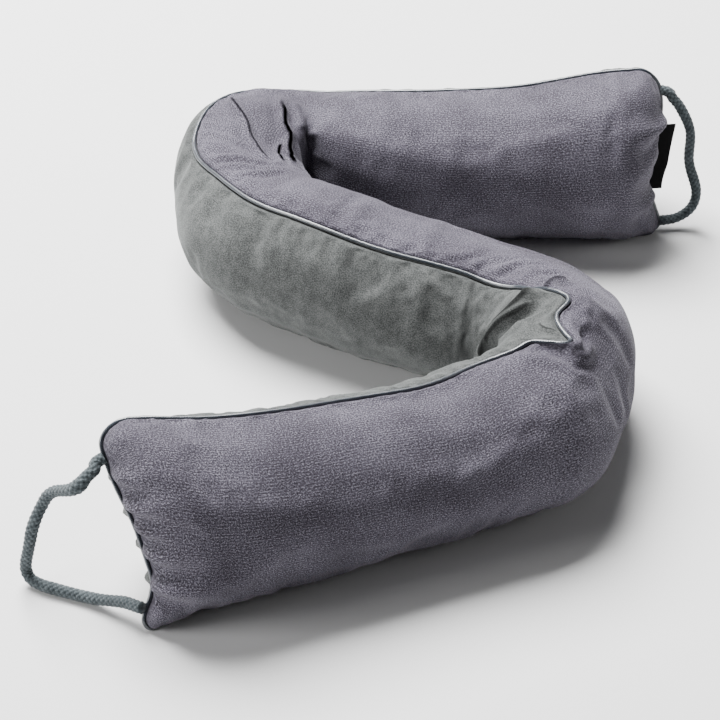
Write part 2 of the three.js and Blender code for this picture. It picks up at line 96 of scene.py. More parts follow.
# Distance along the tube, width, height, and lean of the top seam to the left
SECTIONS = np.array([
    (0, 97.8, 117, 32.4),
    (25, 96.7, 110.3, 25.1),
    (51, 96.1, 103.2, 21.5),
    (92, 92.4, 99, 16.7),
    (138, 93.6, 94.4, 18.1),
    (183, 95.4, 91.1, 12),
    (219, 101.7, 93.1, 22.8),
    (250, 96.6, 95.5, 12.1),
    (277, 77.3, 97.4, 10.3),
    (306, 80.3, 104, 6.5),
    (336, 95.1, 87.9, 10.9),
    (369, 92.5, 80.3, 23.9),
    (408, 95.7, 85.3, 18.9),
    (449, 93.3, 93.3, 24),
    (489, 92.8, 100.4, 25.9),
    (525, 92.9, 98.2, 26.4),
    (556, 97.2, 92.1, 23.4),
    (583, 85.8, 96.4, 43.2),
    (609, 81.3, 108.4, 41.4),
    (634, 90.2, 103.7, 33),
    (663, 92.5, 84.2, 32.1),
    (698, 95.4, 91.8, 25.4),
    (744, 99.5, 96.2, 18.2),
    (805, 104.8, 100.7, 17.5),
    (861, 107.6, 111.1, 19.2),
    (TUBE_LENGTH, 101.2, 114.3, 12),
], dtype=float)
WIDTH, HEIGHT, LEAN = 1, 2, 3
SECTION_REACH = 15
HEADING_REACH = 8

REST_SINK = 2.5
END_TAPER = 42
END_TAPER_POWER = 0.6
END_HALF_THICKNESS = 2.6
UPPER_CORNER = 17
LOWER_CORNER = 9

# Level on the flat end from its lower corner to its upper one, and how far the near
# and the far end are drawn in there
END_LINE = np.array([
    (-1, 2.4, 2),
    (-0.8, 7.4, 6),
    (-0.6, 14.9, 10),
    (-0.4, 12.9, 13),
    (-0.2, 11.2, 11),
    (0, 9.4, 9.3),
    (0.2, 6, 7),
    (0.4, 2.4, 5),
    (0.6, 0.4, 5),
    (0.8, -1.6, 7),
    (1, -2.6, 9),
], dtype=float)
LEVEL_REACH = 0.12
DRAW_REACH = 60
DRAW_POWER = 1.5

CLEARANCE = 0.3
PIPING_RADIUS = 1.2
PIPING_SUNK = 0.3
PIPING_BEYOND_END = 0.9
GROOVE_DEPTH = 3.0
GROOVE_REACH = 2.0
SKIN_RADIUS = 46.0


def soft(rows, column, at, reach):
    """Linear look-up in a table, softened over a short reach."""
    offsets = [-1, -0.5, 0, 0.5, 1]
    return sum(np.interp(at + o * reach, rows[:, 0], rows[:, column]) for o in offsets) / len(offsets)


def heading_rows():
    rows = [(0.0, START_HEADING)]
    for _, length, turn in STRETCHES:
        rows.append((rows[-1][0] + length, rows[-1][1] + turn))
    return np.array(rows)


HEADINGS = heading_rows()


def heading_at(at):
    return np.radians(soft(HEADINGS, 1, at, HEADING_REACH))


def walk_line():
    steps = np.arange(TUBE_LENGTH) + 0.5
    heading = heading_at(steps)
    x = START[0] + np.concatenate([[0.0], np.cumsum(np.cos(heading))])
    y = START[1] + np.concatenate([[0.0], np.cumsum(np.sin(heading))])
    return np.arange(TUBE_LENGTH + 1.0), x, y


WALK = walk_line()


# The room beside the middle line before the tube would meet itself
MOST_ROOM = 400.0
ROOM_SHARE = 0.96
ROOM_REACH = 6
ROOM_SKIP = 3
ROOM_KNEE = 0.55


def room_rows(side):
    at, x, y = WALK
    heading = heading_at(at)
    run_x, run_y = x[None, :] - x[:, None], y[None, :] - y[:, None]
    towards = side * (-np.sin(heading)[:, None] * run_x + np.cos(heading)[:, None] * run_y)
    apart = np.abs(at[None, :] - at[:, None]) > ROOM_SKIP
    use = apart & (towards > 0)
    rooms = np.where(use, (run_x ** 2 + run_y ** 2) / (2 * np.where(use, towards, 1)), MOST_ROOM).min(axis=1)
    rooms = np.minimum(rooms, MOST_ROOM)
    padded = np.pad(rooms, ROOM_REACH, mode="edge")
    lowest = np.lib.stride_tricks.sliding_window_view(padded, 2 * ROOM_REACH + 1).min(axis=1)
    return np.stack([at, ROOM_SHARE * lowest], axis=1)


LEFT_ROOM, RIGHT_ROOM = room_rows(1), room_rows(-1)


def pressed_in(sideways, section):
    room = np.where(sideways > 0, section.left_room, section.right_room)
    beyond = np.maximum(np.abs(sideways) / room - ROOM_KNEE, 0)
    rest = 1 - ROOM_KNEE
    pressed = room * (ROOM_KNEE + rest * np.tanh(beyond / rest))
    return np.where(beyond > 0, np.sign(sideways) * pressed, sideways)


def corner_cut(from_end, radius):
    inside = np.minimum(from_end, radius)
    return radius - np.sqrt(radius ** 2 - (radius - inside) ** 2)


def corner_share(from_end, radius):
    return 1 - (1 - np.minimum(from_end / radius, 1)) ** 2


def section_at(at):
    """Everything about the tube's section at one place or several along it."""
    heading = heading_at(at)
    lean = np.radians(soft(SECTIONS, LEAN, at, SECTION_REACH))
    width = soft(SECTIONS, WIDTH, at, SECTION_REACH)
    height = soft(SECTIONS, HEIGHT, at, SECTION_REACH)
    from_far = TUBE_LENGTH - at
    from_end = np.minimum(at, from_far)
    opening = (1 - (1 - np.minimum(from_end / END_TAPER, 1)) ** 2) ** END_TAPER_POWER
    lower_cut = corner_cut(from_end, LOWER_CORNER)
    across = END_HALF_THICKNESS + (width / 2 - END_HALF_THICKNESS) * opening
    drop = height / 2 - lower_cut
    reach = np.hypot(drop * np.cos(lean), across * np.sin(lean))
    zero = np.zeros_like(heading)
    return SimpleNamespace(
        at=at,
        from_end=from_end,
        across=across,
        rise=height / 2 - corner_cut(from_end, UPPER_CORNER),
        drop=drop,
        lean=lean,
        half=height / 2,
        x=np.interp(at, WALK[0], WALK[1]),
        y=np.interp(at, WALK[0], WALK[2]),
        forward=np.stack([np.cos(heading), np.sin(heading), zero], axis=-1),
        left=np.stack([-np.sin(heading), np.cos(heading), zero], axis=-1),
        centre_height=reach + lower_cut - REST_SINK * opening,
        left_room=soft(LEFT_ROOM, 1, at, ROOM_REACH),
        right_room=soft(RIGHT_ROOM, 1, at, ROOM_REACH),
        near_pull=np.maximum(1 - at / DRAW_REACH, 0) ** DRAW_POWER,
        far_pull=np.maximum(1 - from_far / DRAW_REACH, 0) ** DRAW_POWER,
    )


# Sideways wander of the top seam towards the left of the way along
SEAM_WANDER = np.array([
    (0, 0),
    (246, 0),
    (255, -1.5),
    (258, -7),
    (260, -19),
    (264, -23),
    (268, -15),
    (276, -6),
    (284, -3),
    (291, -7),
    (297, -8),
    (304, -2),
    (312, 4),
    (322, 8),
    (332, 7),
    (346, 4),
    (384, 2),
    (430, 2),
    (500, 0),
    (600, 0),
    (635, -2.5),
    (700, -2.5),
    (730, -1),
    (TUBE_LENGTH, 0),
], dtype=float)
WANDER_REACH = 3
WANDER_ANGLE = 0.5

# How deep the top seam lies in the cloth at the inside of the right bend
SEAM_SINK = np.array([
    (0, 0),
    (232, 0),
    (246, 0),
    (252, -1),
    (258, 0),
    (262, 2.5),
    (267, 2.5),
    (274, 0),
    (TUBE_LENGTH, 0),
], dtype=float)
SINK_GREEN_ANGLE = 0.45
SINK_MAUVE_ANGLE = 0.06


def place(section, side, up, outwards=0.0, angle=None):
    """Points of sections from sideways and upward measures on the leaning axes."""
    level = np.clip(up / section.half, -1, 1)
    near_shift = soft(END_LINE, 1, level, LEVEL_REACH)
    far_shift = soft(END_LINE, 2, level, LEVEL_REACH)
    along = near_shift * section.near_pull - far_shift * section.far_pull + outwards
    if angle is not None:
        near_seam = np.exp(-((angle / WANDER_ANGLE) ** 2))
        side = side + soft(SEAM_WANDER, 1, section.at, WANDER_REACH) * near_seam
        spread = np.where(angle < 0, SINK_MAUVE_ANGLE, SINK_GREEN_ANGLE)
        up = up - soft(SEAM_SINK, 1, section.at, WANDER_REACH) * np.exp(-((angle / spread) ** 2))
    sideways = pressed_in(side * np.cos(section.lean) + up * np.sin(section.lean), section)
    height = up * np.cos(section.lean) - side * np.sin(section.lean) + section.centre_height
    along, sideways, height = np.broadcast_arrays(along, sideways, height)
    point = along[..., None] * section.forward + sideways[..., None] * section.left
    point[..., 0] += section.x
    point[..., 1] += section.y
    point[..., 2] += np.maximum(height, 0)
    return point


# ---------------------------------------------------------------- creases and folds
# Each runs over the skin through spots given as distance along the tube and degrees
# round it from the top seam, green side positive. Positive depth presses in, negative
# stands out. A sharp fold also gets a line of painted shade along its bottom, with the
# half width of that line and how dark it is.
FOLDS = [
    # Right bend, green side: three valleys, the flap and its wrinkle
    dict(depth=8, width=5, shade_half_width=2.4, shade=0.8,
         spots=[(318, 6), (307, 28), (305, 48), (316, 66), (336, 78)]),
    dict(depth=3, width=2.6, shade_half_width=0.9, shade=0.6, spots=[(301, 20), (296, 38), (298, 56), (308, 72)]),
    dict(depth=2.6, width=3, shade_half_width=0.8, shade=0.5, spots=[(284, 26), (285, 44), (290, 62)]),
    dict(depth=-2.5, width=6, spots=[(293, 12), (283, 12), (275, 10)]),
    dict(depth=2, width=2, shade_half_width=0.7, shade=0.6, spots=[(280, 15), (272, 12), (269, 4)]),
    # Right bend, mauve side: crease and bulge at the kink, front bulge, dimple with its bulge
    dict(depth=4.5, width=4.4, shade_half_width=2.6, shade=0.7, spots=[(314, -1), (319, -6), (327, -14), (330, -26)]),
    dict(depth=-2.5, width=7, spots=[(308, -12), (311, -24), (308, -36)]),
    dict(depth=-3, width=5, spots=[(248, -7), (254, -12), (257, -20), (260, -30)]),
    dict(depth=-1.6, width=5, spots=[(275, -24), (276, -34)]),
    dict(depth=2.4, width=3.8, shade_half_width=1.6, shade=0.4,
         spots=[(262, -18), (259, -26), (261, -33), (268, -39), (276, -40)]),
    # Right bend: wrinkle and two ripples on top
    dict(depth=1.6, width=3, spots=[(374, -8), (367, -24), (358, -40)]),
    dict(depth=1.2, width=2.6, spots=[(391, -6), (386, -18)]),
    dict(depth=1.8, width=3, spots=[(352, -6), (350, -20), (344, -34)]),
    # Left bend: thin crease, inside tuck, main and short crease, hollow behind them
    dict(depth=3.4, width=2.8, shade_half_width=0.9, shade=0.85,
         spots=[(630, -8), (626, -19), (617, -35), (609, -45),
                (598, -50), (585, -51), (568, -47), (558, -49)]),
    dict(depth=3, width=8, spots=[(596, -92), (584, -90), (570, -82), (560, -72)]),
    dict(depth=4, width=3.6, shade_half_width=1.7, shade=1.0,
         spots=[(652, -32), (645, -44), (641, -54), (624, -70),
                (607, -79), (586, -78), (566, -67), (548, -55)]),
    dict(depth=3.4, width=3, shade_half_width=1.2, shade=1.0, spots=[(602, -74), (592, -72), (574, -63), (556, -51)]),
    dict(depth=2.6, width=4.5, shade_half_width=1.6, shade=0.3, spots=[(657, -36), (660, -48), (656, -62), (646, -74)]),
    # Left bend: four wrinkles
    dict(depth=1.8, width=2.6, spots=[(578, -10), (566, -26), (556, -42)]),
    dict(depth=1.5, width=2.4, spots=[(566, -9), (554, -26), (546, -42)]),
    dict(depth=1.8, width=2.8, spots=[(552, -8), (544, -28), (534, -46)]),
    dict(depth=1.5, width=2.4, spots=[(600, -14), (592, -32), (584, -46)]),
]
# Folds that also get a line of painted shade along their bottom
SHARP_FOLDS = [fold for fold in FOLDS if "shade_half_width" in fold]
FOLD_STEP = 3.0
FOLD_NEARBY = 45
FOLD_FADE_END = 0.18
FOLD_LEFT_AT_END = 0.25
FOLD_SHOULDERS = dict(shoulder=0.25, away=1.9, spread=0.8)

# Puckers gathered into the flat ends: end, mauve side (-1) or green one (+1), level on
# the end, depth, half width and reach
PUCKERS = [
    ("near", -1, 0.48, 2.2, 3.2, 16),
    ("near", -1, 0.20, 4.6, 3.2, 18),
    ("near", -1, -0.02, 4.4, 3.0, 16),
    ("near", -1, -0.26, 4.6, 3.2, 19),
    ("near", -1, -0.58, 6.5, 3.6, 30),
    ("near", 1, 0.45, 3.8, 3.6, 18),
    ("near", 1, 0.10, 4.4, 3.4, 20),
    ("near", 1, -0.22, 4.2, 3.2, 17),
    ("near", 1, -0.55, 5.2, 3.8, 24),
    ("far", -1, 0.42, 4.4, 3.0, 24),
    ("far", -1, 0.05, 1.2, 3.4, 12),
    ("far", -1, -0.46, 3.6, 3.6, 22),
    ("far", 1, 0.48, 4.0, 3.4, 20),
    ("far", 1, 0.12, 3.6, 3.4, 17),
    ("far", 1, -0.20, 4.2, 3.4, 19),
    ("far", 1, -0.52, 4.8, 3.8, 24),
]
PUCKER_LEAD = 1.5
PUCKER_CORNER = 6
PUCKER_SHOULDERS = dict(shoulder=0.3, away=2, spread=1)


def crease(reach, shoulder, away, spread):
    """Cross-section of a crease: a valley with a low shoulder on either side."""
    return np.exp(-reach ** 2) - shoulder * np.exp(-((reach - away) / spread) ** 2)


def fold_field(fold, at, skin, normal):
    """Signed distance of skin points from a fold, and how full the fold is beside them."""
    spots = np.array([(*spot, 0.0) for spot in fold["spots"]])
    run = smooth_line(spots, FOLD_STEP)[0]
    line = smooth_skin(run[:, 0], np.radians(run[:, 1]))
    near = (at > run[:, 0].min() - FOLD_NEARBY) & (at < run[:, 0].max() + FOLD_NEARBY)
    skin, normal = skin[near], normal[near]
    nearest = np.full(skin.shape[:2], np.inf)
    signed = np.full(skin.shape[:2], np.inf)
    share = np.zeros(skin.shape[:2])
    count = len(line) - 1
    for k in range(count):
        step = line[k + 1] - line[k]
        part = np.clip(((skin - line[k]) @ step) / (step @ step), 0, 1)
        gap = line[k] + part[..., None] * step - skin
        distance = np.linalg.norm(gap, axis=-1)
        across = (np.cross(step, normal) * gap).sum(axis=-1)
        closer = distance < nearest
        nearest = np.where(closer, distance, nearest)
        signed = np.where(closer, distance * np.sign(across), signed)
        share = np.where(closer, (k + part) / count, share)
    to_end = np.minimum(share, 1 - share)
    fade = np.clip(to_end / FOLD_FADE_END, 0, 1)
    return near, signed, fade * fade * (3 - 2 * fade)


def fold_shift(at, skin, normal):
    """How the folds move the smooth skin along its normals."""
    total = np.zeros(skin.shape[:2])
    for fold in FOLDS:
        near, signed, fade = fold_field(fold, at, skin, normal)
        valley = crease(np.abs(signed) / fold["width"], **FOLD_SHOULDERS)
        fullness = FOLD_LEFT_AT_END + (1 - FOLD_LEFT_AT_END) * fade
        total[near] -= fold["depth"] * fullness * valley
    return total[..., None] * normal


def pucker_press(section, up, side):
    """How far the puckers press the skin in."""
    total = np.zeros(np.broadcast(up, side).shape)
    for end, pucker_side, level, depth, width, reach in PUCKERS:
        from_end = section.at if end == "near" else TUBE_LENGTH - section.at
        off = up - level * section.half
        spread = width * (1 + from_end / reach)
        along = np.exp(-((from_end / reach) ** 2)) * corner_share(from_end + PUCKER_LEAD, PUCKER_CORNER)
        valley = crease(np.abs(off) / spread, **PUCKER_SHOULDERS)
        total = total + depth * along * valley * (np.sign(side) == pucker_side)
    return total


def grid_normals(points):
    """Unit normals of a grid that is closed round its second direction."""
    along = np.gradient(points, axis=0)
    around = np.roll(points, -1, axis=1) - np.roll(points, 1, axis=1)
    normal = np.cross(around, along)
    length = np.linalg.norm(normal, axis=-1, keepdims=True)
    return normal / np.maximum(length, 1e-9)


# Slow unevenness of the filling: length and girth of each wave, phase and height
WAVES = [
    (61, 83, 0.4, 0.3),
    (37, 52, 1.9, 0.2),
    (23, 34, 4.1, 0.14),
    (29, 19, 2.7, 0.12),
    (15, 21, 5.2, 0.08),
]


def waviness(at, across):
    total = 0
    for length, girth, phase, height in WAVES:
        total = total + height * np.sin(2 * math.pi * at / length + phase + 1.7 * np.sin(across / girth))
        total = total + height * np.sin(2 * math.pi * across / girth + 2 * phase + at / length)
    return total


# Beside the seam the skin stays smooth, and the waves start a little way from the ends
SEAM_KEEP = 6
SEAM_EDGE = 0.5
WAVES_FROM_END = 30


def skin_measures(rows, angle):
    """Sideways and upward measures of the smooth skin at angles from the top seam."""
    side = rows.across * np.sin(angle)
    up = np.where(np.cos(angle) > 0, rows.rise, rows.drop) * np.cos(angle)
    return side, up


def wrap(angle):
    return (angle + math.pi) % (2 * math.pi) - math.pi


def smooth_skin(at, angle):
    rows = section_at(at)
    side, up = skin_measures(rows, angle)
    return place(rows, side, up, angle=wrap(angle))


def skin_grid(at, angle):
    """The outside of the whole tube as a grid: rows along it, columns round it."""
    rows = section_at(at[:, None])
    side, up = skin_measures(rows, angle[None, :])
    wrapped = wrap(angle)
    top = np.cos(angle)[None, :] > 0
    corner = np.where(top, UPPER_CORNER, LOWER_CORNER)
    share = corner_share(rows.from_end, corner)
    depth = (GROOVE_DEPTH + PIPING_SUNK) * np.exp(-((side / GROOVE_REACH) ** 2)) * share
    smooth = place(rows, side, up, angle=wrapped[None, :])
    normal = grid_normals(smooth)
    away = np.where(np.abs(side) < SEAM_EDGE, 0.0, 1.0)
    seam = np.exp(-((side / SEAM_KEEP) ** 2)) * share
    folded = fold_shift(at, smooth, normal) * (1 - seam)[..., None]
    press = pucker_press(rows, up, side) * away * (1 - seam)
    even = np.clip(rows.from_end / WAVES_FROM_END, 0, 1)
    bulge = waviness(rows.at, wrapped[None, :] * SKIN_RADIUS) * even * (1 - seam)
    points = place(rows, side, up - np.sign(up) * depth, angle=wrapped[None, :])
    points = points + normal * (bulge - press)[..., None] + folded
    points[..., 2] = np.maximum(points[..., 2], 0)
    return points


def refine(values):
    middle = (values[1:] + values[:-1]) / 2
    out = np.empty(len(values) + len(middle))
    out[0::2] = values
    out[1::2] = middle
    return out


# Stations from an end inwards and columns from a seam outwards, closer together there,
# and how many more go evenly between them
END_STATIONS = np.array([0, 0.8, 2, 3.6, 5.6, 8, 11, 14.5, 18.5, 23, 27.5])
MIDDLE_STATIONS = 226
SEAM_COLUMNS = np.array([0, 1.3, 2.5, 3.9, 5.6, 7.8, 10.6, 14])
MIDDLE_COLUMNS = 32


def coarse_stations():
    inner = END_STATIONS[-1]
    middle = np.linspace(inner, TUBE_LENGTH - inner, MIDDLE_STATIONS)[1:-1]
    return np.concatenate([END_STATIONS, middle, TUBE_LENGTH - END_STATIONS[::-1]])


def coarse_angles():
    """Angles from the top seam round the green side, the bottom seam and the mauve side."""
    near = SEAM_COLUMNS / SKIN_RADIUS
    middle = np.linspace(near[-1], math.pi - near[-1], MIDDLE_COLUMNS)[1:-1]
    half = np.concatenate([near, middle, math.pi - near[::-1]])
    return np.concatenate([half, math.pi + half[1:-1]])


def make_mesh(name, points, faces, uvs=None):
    mesh = bpy.data.meshes.new(name)
    points = np.array(points, dtype=float)
    points[:, 2] = np.maximum(points[:, 2], 0)
    mesh.from_pydata((points * MM).tolist(), [], faces)
    mesh.update()
    for polygon in mesh.polygons:
        polygon.use_smooth = True
    if uvs is not None:
        layer = mesh.uv_layers.new(name="cloth")
        corners = np.empty(len(mesh.loops), dtype=np.int64)
        mesh.loops.foreach_get("vertex_index", corners)
        layer.data.foreach_set("uv", np.asarray(uvs, dtype=np.float32)[corners].ravel())
    obj = bpy.data.objects.new(name, mesh)
    scene.collection.objects.link(obj)
    return obj


def grid_faces(rows, columns, wrap):
    faces = []
    last = columns if wrap else columns - 1
    for i in range(rows - 1):
        for j in range(last):
            k = (j + 1) % columns
            faces.append((i * columns + j, i * columns + k, (i + 1) * columns + k, (i + 1) * columns + j))
    return faces


def capped_faces(rows, columns):
    """Faces of a closed tube with a flat cap on either end."""
    faces = grid_faces(rows, columns, True)
    faces.append(tuple(range(columns))[::-1])
    faces.append(tuple((rows - 1) * columns + k for k in range(columns)))
    return faces


# ---------------------------------------------------------------- filled cloth
# The skin is held fully up to 2.4 mm from a seam and 1.5 mm from an end, and it is free
# from 6.4 and 4.5 mm on. What lies on the floor is held too.
CLOTH_FRAMES = 20
CLOTH_CAP = 1.8
FLOOR_HELD = 0.6


def inflate(points, at, angle):
    """Cloth simulation of the filled tube, held at its seams, its ends and the floor."""
    rows, columns = points.shape[:2]
    body = make_mesh("cloth_trial", points.reshape(-1, 3), grid_faces(rows, columns, True))
    from_top = np.abs(wrap(angle))
    from_seam = np.minimum(from_top, math.pi - from_top) * SKIN_RADIUS
    from_end = np.minimum(at, TUBE_LENGTH - at)
    by_seam = np.clip(1.6 - from_seam / 4, 0, 1)[None, :]
    by_end = np.clip(1.5 - from_end / 3, 0, 1)[:, None]
    hold = np.maximum(by_seam, by_end)
    hold = np.maximum(hold, (points[..., 2] < FLOOR_HELD) * 1.0).ravel()
    group = body.vertex_groups.new(name="held")
    hold = np.round(hold, 2)
    for value in np.unique(hold[hold > 0]):
        group.add(np.nonzero(hold == value)[0].tolist(), float(value), "REPLACE")
    cloth = body.modifiers.new("cloth", "CLOTH")
    settings = cloth.settings
    settings.quality = 4
    settings.mass = 0.3
    settings.tension_stiffness = 12
    settings.compression_stiffness = 8
    settings.shear_stiffness = 5
    settings.bending_stiffness = 0.3
    settings.shrink_min = -0.025
    settings.use_pressure = True
    settings.uniform_pressure_force = 4
    settings.vertex_group_mass = "held"
    settings.effector_weights.gravity = 0
    cloth.collision_settings.use_collision = False
    cloth.point_cache.frame_start = 1
    cloth.point_cache.frame_end = CLOTH_FRAMES
    for number in range(1, CLOTH_FRAMES + 1):
        scene.frame_set(number)
    evaluated = body.evaluated_get(bpy.context.evaluated_depsgraph_get())
    result = np.empty(rows * columns * 3, dtype=np.float32)
    evaluated.data.vertices.foreach_get("co", result)
    scene.frame_set(1)
    bpy.data.objects.remove(body, do_unlink=True)
    moved = result.reshape(rows, columns, 3).astype(float) / MM - points
    size = np.maximum(np.linalg.norm(moved, axis=-1, keepdims=True), 1e-9)
    return moved * CLOTH_CAP * np.tanh(size / CLOTH_CAP) / size


def upsample(values, axis, wrap):
    """Doubles a grid of values along one direction through smooth middles."""
    values = np.moveaxis(values, axis, 0)
    if wrap:
        padded = np.concatenate([values[-1:], values, values[:2]])
    else:
        padded = np.concatenate([values[:1], values, values[-1:]])
    middle = (9 * (padded[1:-2] + padded[2:-1]) - padded[:-3] - padded[3:]) / 16
    out = np.empty((len(values) + len(middle),) + values.shape[1:])
    out[0::2] = values
    out[1::2] = middle
    return np.moveaxis(out, 0, axis)


def tube_skin():
    at, angle = coarse_stations(), coarse_angles()
    moved = np.zeros((len(at), len(angle), 3))
    moved = inflate(skin_grid(at, angle), at, angle)
    moved = upsample(upsample(moved, 0, False), 1, True)
    fine_at = refine(at)
    fine_angle = refine(np.concatenate([angle, [2 * math.pi]]))[:-1]
    points = skin_grid(fine_at, fine_angle) + moved
    points[..., 2] = np.maximum(points[..., 2], 0)
    return fine_at, fine_angle, points


FACE_STEP = 4
FAR_AWAY = 99


def panel(name, at, angle, points, side):
    """One panel: its part of the skin, closed by an inner face along the seams."""
    half = len(angle) // 2
    if side > 0:
        columns = list(range(0, half + 1))
    else:
        columns = list(range(half, len(angle))) + [0]
    skin = points[:, columns].copy()
    rows = section_at(at)
    for edge in (0, -1):
        skin[:, edge] += (side * CLEARANCE / 2) * rows.left
    ends = (skin[:, [0, -1], 2] - rows.centre_height[:, None]) / np.cos(rows.lean)[:, None]
    turned = np.cos(angle[columns])
    share = ((turned - turned[0]) / (turned[-1] - turned[0]))[FACE_STEP:-FACE_STEP:FACE_STEP]
    levels = ends[:, :1] + (ends[:, 1:] - ends[:, :1]) * share
    face = place(section_at(at[:, None]), side * CLEARANCE / 2, levels)[:, ::-1]
    whole = np.concatenate([skin, face], axis=1)
    wide, count = skin.shape[1], whole.shape[1]
    faces = grid_faces(len(at), count, True)
    for start in (0, (len(at) - 1) * count):
        for k in range(face.shape[1] + 1):
            first = k * FACE_STEP
            last = first + FACE_STEP if k < face.shape[1] else wide - 1
            inner = [count - k - 1] if k < face.shape[1] else []
            outer = [count - k] if k > 0 else []
            cap = [start + c for c in [*range(first, last + 1), *inner, *outer]]
            faces.append(tuple(cap) if start else tuple(cap[::-1]))
    girth = np.concatenate([[0], np.cumsum(np.linalg.norm(np.diff(skin[len(at) // 2], axis=0), axis=1))])
    girth = np.concatenate([girth, np.full(count - len(girth), girth[-1])])
    uvs = np.stack(np.broadcast_arrays(at[:, None] * MM, girth[None, :] * MM), axis=-1).reshape(-1, 2)
    obj = make_mesh(name, whole.reshape(-1, 3), faces, uvs)
    mark_crease_shade(obj, at, angle[columns], count)
    return obj


def mark_crease_shade(obj, at, angle, count):
    """Signed distance from each sharp fold and its fullness, kept for the painted shade along the fold's
    bottom.
    """
    smooth = smooth_skin(at[:, None], angle[None, :])
    normal = np.cross(np.gradient(smooth, axis=1), np.gradient(smooth, axis=0))
    for number, fold in enumerate(SHARP_FOLDS):
        near, signed, fade = fold_field(fold, at, smooth, normal)
        values = np.zeros((len(at), count, 3), dtype=np.float32)
        values[..., 0] = FAR_AWAY
        local = values[near]
        local[:, :len(angle), 0] = signed
        local[:, :len(angle), 1] = fade
        values[near] = local
        layer = obj.data.attributes.new("crease_shade_" + str(number), "FLOAT_VECTOR", "POINT")
        layer.data.foreach_set("vector", values.ravel())


# ---------------------------------------------------------------- ropes
CURVE_SAMPLES = 24


def smooth_line(points, step, closed=False):
    """A centripetal Catmull-Rom line through the points, in even steps."""
    points = np.asarray(points, dtype=float)
    if closed:
        points = np.concatenate([points[-1:], points, points[:2]])
    else:
        points = np.concatenate([2 * points[:1] - points[1:2], points, 2 * points[-1:] - points[-2:-1]])
    parts = []
    for p0, p1, p2, p3 in zip(points, points[1:], points[2:], points[3:]):
        t0 = 0.0
        t1 = t0 + np.sqrt(np.linalg.norm(p1 - p0))
        t2 = t1 + np.sqrt(np.linalg.norm(p2 - p1))
        t3 = t2 + np.sqrt(np.linalg.norm(p3 - p2))
        t = np.linspace(t1, t2, CURVE_SAMPLES + 1)[:-1, None]
        a1 = (t1 - t) / (t1 - t0) * p0 + (t - t0) / (t1 - t0) * p1
        a2 = (t2 - t) / (t2 - t1) * p1 + (t - t1) / (t2 - t1) * p2
        a3 = (t3 - t) / (t3 - t2) * p2 + (t - t2) / (t3 - t2) * p3
        b1 = (t2 - t) / (t2 - t0) * a1 + (t - t0) / (t2 - t0) * a2
        b2 = (t3 - t) / (t3 - t1) * a2 + (t - t1) / (t3 - t1) * a3
        parts.append((t2 - t) / (t2 - t1) * b1 + (t - t1) / (t2 - t1) * b2)
    line = np.concatenate(parts + [points[-2:-1]])
    run = np.concatenate([[0], np.cumsum(np.linalg.norm(np.diff(line, axis=0), axis=1))])
    even = np.linspace(0, run[-1], max(int(round(run[-1] / step)), 2) + 1)
    line = np.stack([np.interp(even, run, line[:, k]) for k in range(3)], axis=1)
    return line, even


def line_frames(line, closed):
    """Directions across a line that turn with it and never twist."""
    tangent = np.gradient(line, axis=0)
    if closed:
        tangent[0] = tangent[-1] = line[1] - line[-2]
    tangent /= np.linalg.norm(tangent, axis=1, keepdims=True)
    normal = np.array([0.0, 0.0, 1.0])
    normals = []
    for direction in tangent:
        normal = normal - direction * (normal @ direction)
        normal = normal / np.linalg.norm(normal)
        normals.append(normal)
    normals = np.array(normals)
    binormals = np.cross(tangent, normals)
    if closed:
        twist = math.atan2(normals[-1] @ binormals[0], normals[-1] @ normals[0])
        turn = -twist * np.linspace(0, 1, len(line))[:, None]
        turned = normals * np.cos(turn) + binormals * np.sin(turn)
        binormals = np.cross(tangent, turned)
        normals = turned
    return normals, binormals


STRANDS = 6
STRAND_PITCH = 19.0
STRAND_SPREAD = 1.08
ROPE_SIDES = 48
ROPE_STEP = 0.45
ROPE_HOLLOW = 0.76
ROPE_RELIEF = 0.28
ROPE_GIRTH = 0.021
# Waves along the rope: height as a share of its radius, length and start
ROPE_LUMPS = [(0.03, 9.0, 0), (0.02, 3.7, 1)]


def plait(turn, run):
    """Height of a braided rope's surface: strands each way, over and under."""
    one = STRANDS * (turn - run / STRAND_PITCH)
    two = STRANDS * (turn + run / STRAND_PITCH)
    first, second = np.round(one), np.round(two)
    crown_one = np.sqrt(np.clip(1 - (2 * (one - first) / STRAND_SPREAD) ** 2, 0, 1))
    crown_two = np.sqrt(np.clip(1 - (2 * (two - second) / STRAND_SPREAD) ** 2, 0, 1))
    over_one = 0.5 + 0.5 * np.cos(math.pi * first) * np.cos(math.pi * two)
    over_two = 0.5 - 0.5 * np.cos(math.pi * second) * np.cos(math.pi * one)
    return np.maximum(crown_one * over_one, crown_two * over_two)


def rope(name, route, radius, kinks=()):
    """A braided rope. Each kink is a distance along it, a half length and a growth."""
    line, run = smooth_line(route, ROPE_STEP)
    normals, binormals = line_frames(line, False)
    turn = np.arange(ROPE_SIDES) / ROPE_SIDES
    height = plait(turn[None, :], run[:, None])
    lumpy = 1 + sum(swell * np.sin(run / length + start) for swell, length, start in ROPE_LUMPS)
    for where, reach, growth in kinks:
        lumpy = lumpy + growth * np.exp(-(((run - where) / reach) ** 2))
    size = radius * (ROPE_HOLLOW + ROPE_RELIEF * height) * lumpy[:, None]
    angle = 2 * math.pi * turn[None, :, None]
    ring = normals[:, None] * np.cos(angle) + binormals[:, None] * np.sin(angle)
    points = line[:, None] + size[..., None] * ring
    faces = capped_faces(len(line), ROPE_SIDES)
    uvs = np.stack(np.broadcast_arrays(run[:, None] * MM, turn[None, :] * ROPE_GIRTH), axis=-1)
    obj = make_mesh(name, points.reshape(-1, 3), faces, uvs.reshape(-1, 2))
    # The plait's height, kept for the shape's record and for the painted shade between the strands
    relief = obj.data.attributes.new("relief", "FLOAT", "POINT")
    relief.data.foreach_set("value", height.ravel().astype(np.float32))
    return obj, line, run[-1]


